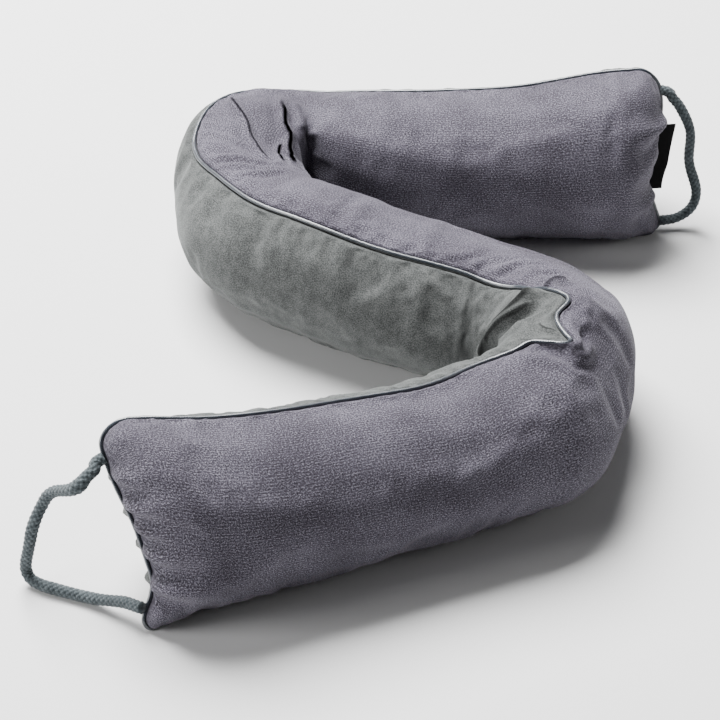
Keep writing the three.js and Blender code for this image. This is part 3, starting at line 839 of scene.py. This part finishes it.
# Middle lines of the ropes, and the kinks of the near one
ROPE_RADIUS = 3.4
NEAR_ROPE = [
    (-168.6, -184.4, 83.4), (-173, -186.8, 81.3), (-173.6, -189.9, 79.8), (-177.6, -192.6, 76.9),
    (-181.2, -195, 73.4), (-185.6, -194.5, 70), (-190.6, -190.7, 66.1), (-195.8, -186.3, 62.1),
    (-200.5, -184.3, 57.2), (-204, -184.5, 50.8), (-207.5, -186.4, 43.8), (-210, -188.3, 36.9),
    (-211.7, -189.2, 29.4), (-213.4, -189.2, 22), (-215.1, -188.9, 14.5), (-215.3, -189.1, 8.8),
    (-212.9, -191.5, 5), (-207.4, -194.6, 3.6), (-200.1, -197.9, 3.6), (-192.2, -201, 3.6),
    (-184, -204.2, 3.8), (-175.7, -207.9, 5), (-167.6, -212, 7.5), (-159.5, -216.7, 10.6),
    (-151.7, -223.3, 13.3), (-149.4, -225, 14.1),
]
NEAR_ROPE_KINKS = [(21, 4.5, 0.2)]
FAR_ROPE = [
    (161.8, 188, 94.6), (168.2, 187, 93.1), (170.1, 185.8, 90.3), (174.5, 184.6, 85.4),
    (178.1, 183.4, 79.6), (181.3, 182.2, 73.4), (183.4, 181, 66.9), (183.8, 179.8, 60.1),
    (183.5, 178.6, 53.5), (183.8, 177.4, 47), (185.5, 176.2, 40.2), (188, 175, 33.4),
    (189.8, 173.8, 26.6), (189.6, 172.5, 20.2), (187.1, 171.3, 14.2), (182.3, 170.1, 9.9),
    (176.2, 168.9, 7.3), (168.6, 167.7, 6.7), (165.9, 167.4, 6.6),
]


# ---------------------------------------------------------------- piping
CORNER_DEGREES = (72, 54, 36, 18)
END_POINTS = 19
PIPING_STATIONS = 240
PIPING_STEP = 1.5
PIPING_SIDES = 16
PIPING_WRINKLE = 0.028
WRINKLE_PITCH = 5.3
FINE_WRINKLE_PITCH = 3.1
FINE_WRINKLE_SHARE = 0.6
CORE_FROM_END = 40.0
CORE_STATIONS = 300
FLANGE_DEPTH = 1.5
FLANGE_SHARPNESS = 12


def groove_top(section, end, corner):
    inside = corner - np.minimum(section.from_end, corner)
    return end * (section.half - corner + np.sqrt(np.maximum(corner ** 2 - inside ** 2, 0)))


def piping_level(section, end):
    level = section.rise - PIPING_SUNK if end > 0 else PIPING_SUNK - section.drop
    height = section.centre_height + level * np.cos(section.lean)
    return level + np.maximum(PIPING_RADIUS + CLEARANCE - height, 0) / np.cos(section.lean)


def corner_piping(which, end):
    corner = UPPER_CORNER if end > 0 else LOWER_CORNER
    points = []
    for degrees in CORNER_DEGREES:
        turn = math.radians(degrees)
        share = math.sin(turn) ** 2
        stand = PIPING_BEYOND_END * (1 - share) - PIPING_SUNK * share
        radius = corner + stand
        inside = corner - radius * math.cos(turn)
        from_end = max(inside, 0.0)
        beyond = max(-inside, 0.0) * (-1 if which == "near" else 1)
        local = section_at(np.array(from_end if which == "near" else TUBE_LENGTH - from_end))
        level = end * (local.half - corner + radius * math.sin(turn))
        point = place(local, np.array(0.0), level, beyond)
        point[2] = max(point[2], PIPING_RADIUS + CLEARANCE)
        points.append(point)
    return points


def end_piping(which, direction):
    section = section_at(np.array(0.0 if which == "near" else float(TUBE_LENGTH)))
    corners = {1: UPPER_CORNER, -1: LOWER_CORNER}
    start = groove_top(section, direction, corners[direction])
    stop = groove_top(section, -direction, corners[-direction])
    points = corner_piping(which, direction)
    beyond = PIPING_BEYOND_END * (-1 if which == "near" else 1)
    for share in np.linspace(0, 1, END_POINTS):
        level = start + (stop - start) * share
        points.append(place(section, np.array(0.0), level, beyond))
    return points + corner_piping(which, -direction)[::-1]


def piping_line():
    upper = np.linspace(UPPER_CORNER, TUBE_LENGTH - UPPER_CORNER, PIPING_STATIONS)
    lower = np.linspace(TUBE_LENGTH - LOWER_CORNER, LOWER_CORNER, PIPING_STATIONS)
    above, below = section_at(upper), section_at(lower)
    middle = np.zeros(PIPING_STATIONS)
    line = list(place(above, middle, piping_level(above, 1), angle=middle))
    line += end_piping("far", 1)
    line += list(place(below, middle, piping_level(below, -1)))
    line += end_piping("near", -1)
    return np.array(line)


def piping(name):
    """Covered cord round the whole seam, with the narrow flange it is sewn in by."""
    line, run = smooth_line(piping_line(), PIPING_STEP, closed=True)
    normals, binormals = line_frames(line, True)
    turn = 2 * math.pi * np.arange(PIPING_SIDES) / PIPING_SIDES
    turns = 2 * math.pi * run[:, None]
    wrinkle = np.sin(turns / WRINKLE_PITCH + 2 * turn[None, :])
    wrinkle = wrinkle + FINE_WRINKLE_SHARE * np.sin(turns / FINE_WRINKLE_PITCH - turn[None, :] + 1)
    round_it = turn[None, :, None]
    ring = normals[:, None] * np.cos(round_it) + binormals[:, None] * np.sin(round_it)
    core = section_at(np.linspace(CORE_FROM_END, TUBE_LENGTH - CORE_FROM_END, CORE_STATIONS))
    middle = np.stack([core.x, core.y, core.centre_height], axis=-1)
    nearest = np.linalg.norm(line[:, None] - middle[None], axis=-1).argmin(axis=1)
    inward = middle[nearest] - line
    inward /= np.linalg.norm(inward, axis=1, keepdims=True)
    facing = np.clip((ring * inward[:, None]).sum(axis=-1), 0, 1)
    size = PIPING_RADIUS * (1 + PIPING_WRINKLE * wrinkle) + FLANGE_DEPTH * facing ** FLANGE_SHARPNESS
    points = line[:, None] + size[..., None] * ring
    points = points[:-1]
    rows = len(points)
    faces = grid_faces(rows, PIPING_SIDES, True)
    last = (rows - 1) * PIPING_SIDES
    for j in range(PIPING_SIDES):
        k = (j + 1) % PIPING_SIDES
        faces.append((last + j, last + k, k, j))
    uvs = np.stack(np.broadcast_arrays(run[:-1, None] * MM, turn[None, :] * PIPING_RADIUS * MM), axis=-1)
    return make_mesh(name, points.reshape(-1, 3), faces, uvs.reshape(-1, 2))


# ---------------------------------------------------------------- tag
TAG_TOP = 0.3
TAG_BOTTOM = -0.47
TAG_THICKNESS = 1.2
TAG_PROUD = 10.5
TAG_SLANT = 0.25
TAG_SLANT_START = 0.62
TAG_ROWS = 41
TAG_CURL = 0.35
TAG_CURL_ROWS = 6.5
TAG_BULGE = 0.1


def tag(name):
    """A folded tape: two layers that meet in a rounded fold at the free edge."""
    section = section_at(np.array(float(TUBE_LENGTH)))
    levels = section.half * np.linspace(TAG_TOP, TAG_BOTTOM, TAG_ROWS)
    inner = 3 * CLEARANCE
    half = TAG_THICKNESS / 2
    middle = -(PIPING_RADIUS + CLEARANCE) - half
    flat = TAG_PROUD - half
    outline = []
    for share in np.linspace(0, 1, 9)[:-1]:
        outline.append((inner + flat * share, middle - half + TAG_BULGE * math.sin(6 * share)))
    for turn in np.radians(np.linspace(-90, 90, 7)):
        outline.append((inner + flat + half * math.cos(turn), middle + half * math.sin(turn)))
    for share in np.linspace(1, 0, 9)[1:]:
        outline.append((inner + flat * share, middle + half))
    rows = []
    for number, level in enumerate(levels):
        curl = TAG_CURL * math.sin(number / TAG_CURL_ROWS)
        below = max(number / (TAG_ROWS - 1) - TAG_SLANT_START, 0)
        narrow = 1 - TAG_SLANT * below / (1 - TAG_SLANT_START)
        rows.append([place(section, np.array(side + curl * out / TAG_PROUD), level, out * narrow)
                     for out, side in outline])
    points = np.array(rows)
    faces = capped_faces(TAG_ROWS, points.shape[1])
    run = -levels[:, None] * MM
    spread = np.array([out for out, _ in outline])[None, :] * MM
    uvs = np.stack(np.broadcast_arrays(run, spread), axis=-1).reshape(-1, 2)
    return make_mesh(name, points.reshape(-1, 3), faces, uvs)


# ---------------------------------------------------------------- materials
def material(name):
    made = bpy.data.materials.new(name)
    made.use_nodes = True
    tree = made.node_tree
    return made, tree, tree.nodes["Principled BSDF"]


def node(tree, kind, links=(), **values):
    """A node with its sockets set by name and its inputs linked."""
    made = tree.nodes.new(kind)
    for key, value in values.items():
        if key in made.inputs:
            made.inputs[key].default_value = value
        else:
            setattr(made, key, value)
    for socket, source in dict(links).items():
        tree.links.new(source, made.inputs[socket])
    return made


def settle(made, values):
    for socket, value in values.items():
        made.inputs[socket].default_value = value


def cloth_coordinates(tree, along, across):
    uv = node(tree, "ShaderNodeUVMap", uv_map="cloth")
    made = node(tree, "ShaderNodeMapping", {"Vector": uv.outputs["UV"]}, Scale=(along, across, 1))
    return made.outputs["Vector"]


def noise(tree, along, across, detail, roughness):
    made = node(tree, "ShaderNodeTexNoise", {"Vector": cloth_coordinates(tree, along, across)},
                Scale=1.0, Detail=detail, Roughness=roughness)
    return made.outputs["Fac"]


def bands(tree, along, across, direction, **values):
    made = node(tree, "ShaderNodeTexWave", {"Vector": cloth_coordinates(tree, along, across)},
                wave_type="BANDS", bands_direction=direction, **values)
    return made.outputs["Fac"]


def ramp(tree, source, stops):
    made = node(tree, "ShaderNodeValToRGB", {"Fac": source})
    elements = made.color_ramp.elements
    while len(elements) < len(stops):
        elements.new(0.5)
    for element, (position, colour) in zip(elements, stops):
        element.position = position
        element.color = (*colour, 1)
    return made.outputs["Color"]


def shaded(tree, one, two):
    """One colour multiplied by another."""
    made = node(tree, "ShaderNodeMix", data_type="RGBA", blend_type="MULTIPLY")
    made.inputs[0].default_value = 1.0
    tree.links.new(one, made.inputs[6])
    tree.links.new(two, made.inputs[7])
    return made.outputs[2]


def times(tree, socket, weight):
    scaled = node(tree, "ShaderNodeMath", {0: socket}, operation="MULTIPLY")
    scaled.inputs[1].default_value = weight
    return scaled.outputs[0]


def both(tree, operation, one, two):
    return node(tree, "ShaderNodeMath", {0: one, 1: two}, operation=operation).outputs[0]


def add_up(tree, terms):
    """Weighted sum of value sockets."""
    total = None
    for socket, weight in terms:
        scaled = times(tree, socket, weight)
        total = scaled if total is None else both(tree, "ADD", total, scaled)
    return total


def bump(tree, height, strength, distance):
    made = node(tree, "ShaderNodeBump", {"Height": height}, Strength=strength, Distance=distance)
    return made.outputs["Normal"]


def paint_crease_shade(tree, shader, colour, sheen, specular):
    """Colour, sheen and shine, all darkened by painted shade in the bottom of the sharp folds."""
    light = None
    for number, fold in enumerate(SHARP_FOLDS):
        field = node(tree, "ShaderNodeAttribute", attribute_name="crease_shade_" + str(number))
        parts = node(tree, "ShaderNodeSeparateXYZ", {0: field.outputs["Vector"]})
        away = node(tree, "ShaderNodeMath", {0: parts.outputs["X"]}, operation="ABSOLUTE").outputs[0]
        dark = node(tree, "ShaderNodeMapRange", {"Value": away}, interpolation_type="SMOOTHSTEP")
        settle(dark, {"From Min": 0.35 * fold["shade_half_width"], "From Max": 1.5 * fold["shade_half_width"],
                      "To Min": fold["shade"], "To Max": 0.0})
        full = both(tree, "MULTIPLY", dark.outputs["Result"], parts.outputs["Y"])
        rest = node(tree, "ShaderNodeMath", {1: full}, operation="SUBTRACT")
        rest.inputs[0].default_value = 1.0
        rest = rest.outputs[0]
        light = rest if light is None else both(tree, "MULTIPLY", light, rest)
    tree.links.new(shaded(tree, colour, light), shader.inputs["Base Color"])
    tree.links.new(times(tree, light, sheen), shader.inputs["Sheen Weight"])
    tree.links.new(times(tree, light, specular), shader.inputs["Specular IOR Level"])


def canvas_material():
    made, tree, shader = material("mauve_canvas")
    flecks = noise(tree, 1000, 1350, 2.0, 0.6)
    grain = noise(tree, 1700, 2000, 1.0, 0.5)
    rows = bands(tree, 60, 640, "Y", Scale=0.32, Distortion=2.2, Detail=2.0)
    clouds = noise(tree, 26, 30, 3.0, 0.55)
    value = add_up(tree, [(flecks, 0.48), (grain, 0.44), (rows, 0.04), (clouds, 0.12)])
    colour = ramp(tree, value, [
        (0.42, (0.009, 0.007, 0.010)),
        (0.50, (0.030, 0.026, 0.035)),
        (0.57, (0.066, 0.060, 0.079)),
        (0.66, (0.200, 0.190, 0.228)),
    ])
    # Painted shade darkens colour, sheen and shine in the bottom of the sharp folds
    paint_crease_shade(tree, shader, colour, 0.1, 0.2)
    settle(shader, {"Roughness": 0.92, "Sheen Roughness": 0.45, "Sheen Tint": (0.80, 0.78, 0.86, 1)})
    height = add_up(tree, [(flecks, 0.6), (grain, 0.5), (rows, 0.08)])
    tree.links.new(bump(tree, height, 0.26, 0.0004), shader.inputs["Normal"])
    return made


def suede_material():
    made, tree, shader = material("green_plush")
    clouds = noise(tree, 55, 42, 4.0, 0.6)
    brushed = noise(tree, 230, 130, 3.0, 0.6)
    pile = noise(tree, 1500, 1300, 1.5, 0.6)
    value = add_up(tree, [(clouds, 0.12), (brushed, 0.26), (pile, 0.62)])
    colour = ramp(tree, value, [
        (0.40, (0.030, 0.032, 0.032)),
        (0.50, (0.060, 0.063, 0.062)),
        (0.60, (0.104, 0.108, 0.106)),
    ])
    # Painted shade darkens colour, sheen and shine in the bottom of the sharp folds
    paint_crease_shade(tree, shader, colour, 0.2, 0.15)
    settle(shader, {"Roughness": 0.95, "Sheen Roughness": 0.4, "Sheen Tint": (0.84, 0.88, 0.86, 1)})
    height = add_up(tree, [(pile, 0.5), (brushed, 0.5)])
    tree.links.new(bump(tree, height, 0.35, 0.0005), shader.inputs["Normal"])
    return made


def satin_material():
    made, tree, shader = material("piping_satin")
    threads = bands(tree, 900, 900, "DIAGONAL", Scale=0.5, Distortion=1.0, Detail=1.0)
    patches = noise(tree, 190, 500, 3.0, 0.6)
    value = add_up(tree, [(threads, 0.35), (patches, 0.65)])
    colour = ramp(tree, value, [
        (0.30, (0.006, 0.008, 0.013)),
        (0.52, (0.016, 0.021, 0.030)),
        (0.75, (0.048, 0.060, 0.076)),
    ])
    tree.links.new(colour, shader.inputs["Base Color"])
    settle(shader, {"Roughness": 0.28, "Specular IOR Level": 1.0, "Sheen Weight": 0.12})
    tree.links.new(bump(tree, value, 0.3, 0.0003), shader.inputs["Normal"])
    return made


def cotton_material():
    made, tree, shader = material("cotton_rope")
    fibres = noise(tree, 2200, 900, 2.0, 0.6)
    patches = noise(tree, 220, 260, 2.0, 0.5)
    value = add_up(tree, [(fibres, 0.55), (patches, 0.45)])
    colour = ramp(tree, value, [
        (0.35, (0.032, 0.041, 0.046)),
        (0.52, (0.064, 0.079, 0.086)),
        (0.68, (0.130, 0.151, 0.161)),
    ])
    # Painted shade: the colour darkens where the plait is low, between the strands
    relief = node(tree, "ShaderNodeAttribute", attribute_name="relief")
    painted_hollow_shade = ramp(tree, relief.outputs["Fac"], [(0.15, (0.20, 0.20, 0.20)), (0.75, (1, 1, 1))])
    tree.links.new(shaded(tree, colour, painted_hollow_shade), shader.inputs["Base Color"])
    settle(shader, {"Roughness": 0.9, "Specular IOR Level": 0.2, "Sheen Weight": 0.2})
    tree.links.new(bump(tree, fibres, 0.6, 0.0004), shader.inputs["Normal"])
    return made


def tape_material():
    made, tree, shader = material("black_tape")
    warp = bands(tree, 1000, 1000, "X", Scale=0.42, Distortion=0.4)
    weft = bands(tree, 1000, 1000, "Y", Scale=0.42, Distortion=0.4)
    value = add_up(tree, [(warp, 0.5), (weft, 0.5)])
    colour = ramp(tree, value, [
        (0.2, (0.0012, 0.0012, 0.0014)),
        (0.8, (0.0045, 0.0042, 0.0042)),
    ])
    tree.links.new(colour, shader.inputs["Base Color"])
    settle(shader, {"Roughness": 0.8, "Specular IOR Level": 0.12})
    tree.links.new(bump(tree, value, 0.5, 0.0003), shader.inputs["Normal"])
    return made


# ---------------------------------------------------------------- putting it together
near_rope, near_line, near_length = rope("near_rope", NEAR_ROPE, ROPE_RADIUS, NEAR_ROPE_KINKS)
far_rope, far_line, far_length = rope("far_rope", FAR_ROPE, ROPE_RADIUS)
along, around, outside = tube_skin()
green = panel("green_suede_panel", along, around, outside, 1)
mauve = panel("mauve_canvas_panel", along, around, outside, -1)
trim = piping("piped_edge")
label = tag("bare_tag")

FINISHES = {
    "mauve_canvas": canvas_material(),
    "green_plush": suede_material(),
    "piping_satin": satin_material(),
    "cotton_rope": cotton_material(),
    "black_tape": tape_material(),
}
for piece, stands_for, finish in (
    (green, "green_panel", "green_plush"),
    (mauve, "mauve_panel", "mauve_canvas"),
    (trim, "piping", "piping_satin"),
    (near_rope, "near_rope_handle", "cotton_rope"),
    (far_rope, "far_rope_handle", "cotton_rope"),
    (label, "tag", "black_tape"),
):
    piece.data.materials.append(FINISHES[finish])
    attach(piece, "root")
    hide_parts(stands_for)


# ---------------------------------------------------------------- floor and light
FLOOR_HALF = 6.0


def make_floor():
    half = FLOOR_HALF
    mesh = bpy.data.meshes.new("floor")
    corners = [(-half, -half, 0), (half, -half, 0), (half, half, 0), (-half, half, 0)]
    mesh.from_pydata(corners, [], [(0, 1, 2, 3)])
    floor = bpy.data.objects.new("floor", mesh)
    scene.collection.objects.link(floor)
    made, tree, shader = material("floor_paper")
    settle(shader, {"Base Color": (0.7, 0.7, 0.7, 1), "Roughness": 0.9})
    mesh.materials.append(made)


def area_light(name, place_at, aim, size, power):
    data = bpy.data.lights.new(name, "AREA")
    data.shape = "RECTANGLE"
    data.size, data.size_y = size
    data.energy = power
    lamp = bpy.data.objects.new(name, data)
    scene.collection.objects.link(lamp)
    lamp.location = place_at
    direction = np.array(aim) - np.array(place_at)
    tilt = math.atan2(math.hypot(direction[0], direction[1]), -direction[2])
    turn = math.atan2(direction[1], direction[0]) - math.pi / 2
    lamp.rotation_euler = (tilt, 0, turn)


def make_light():
    world = bpy.data.worlds.new("world")
    world.use_nodes = True
    settle(world.node_tree.nodes["Background"], {"Color": (1, 1, 1, 1), "Strength": 0.05})
    scene.world = world
    area_light("overhead", (-0.6, 0.95, 1.9), (0, 0, 0), (1.5, 1.5), 280)
    area_light("left", (-1.9, -0.7, 0.8), (0, 0, 0.05), (0.9, 0.9), 34)
    area_light("right", (1.8, -0.3, 0.9), (0, 0, 0.05), (0.9, 0.9), 6)


make_floor()
make_light()
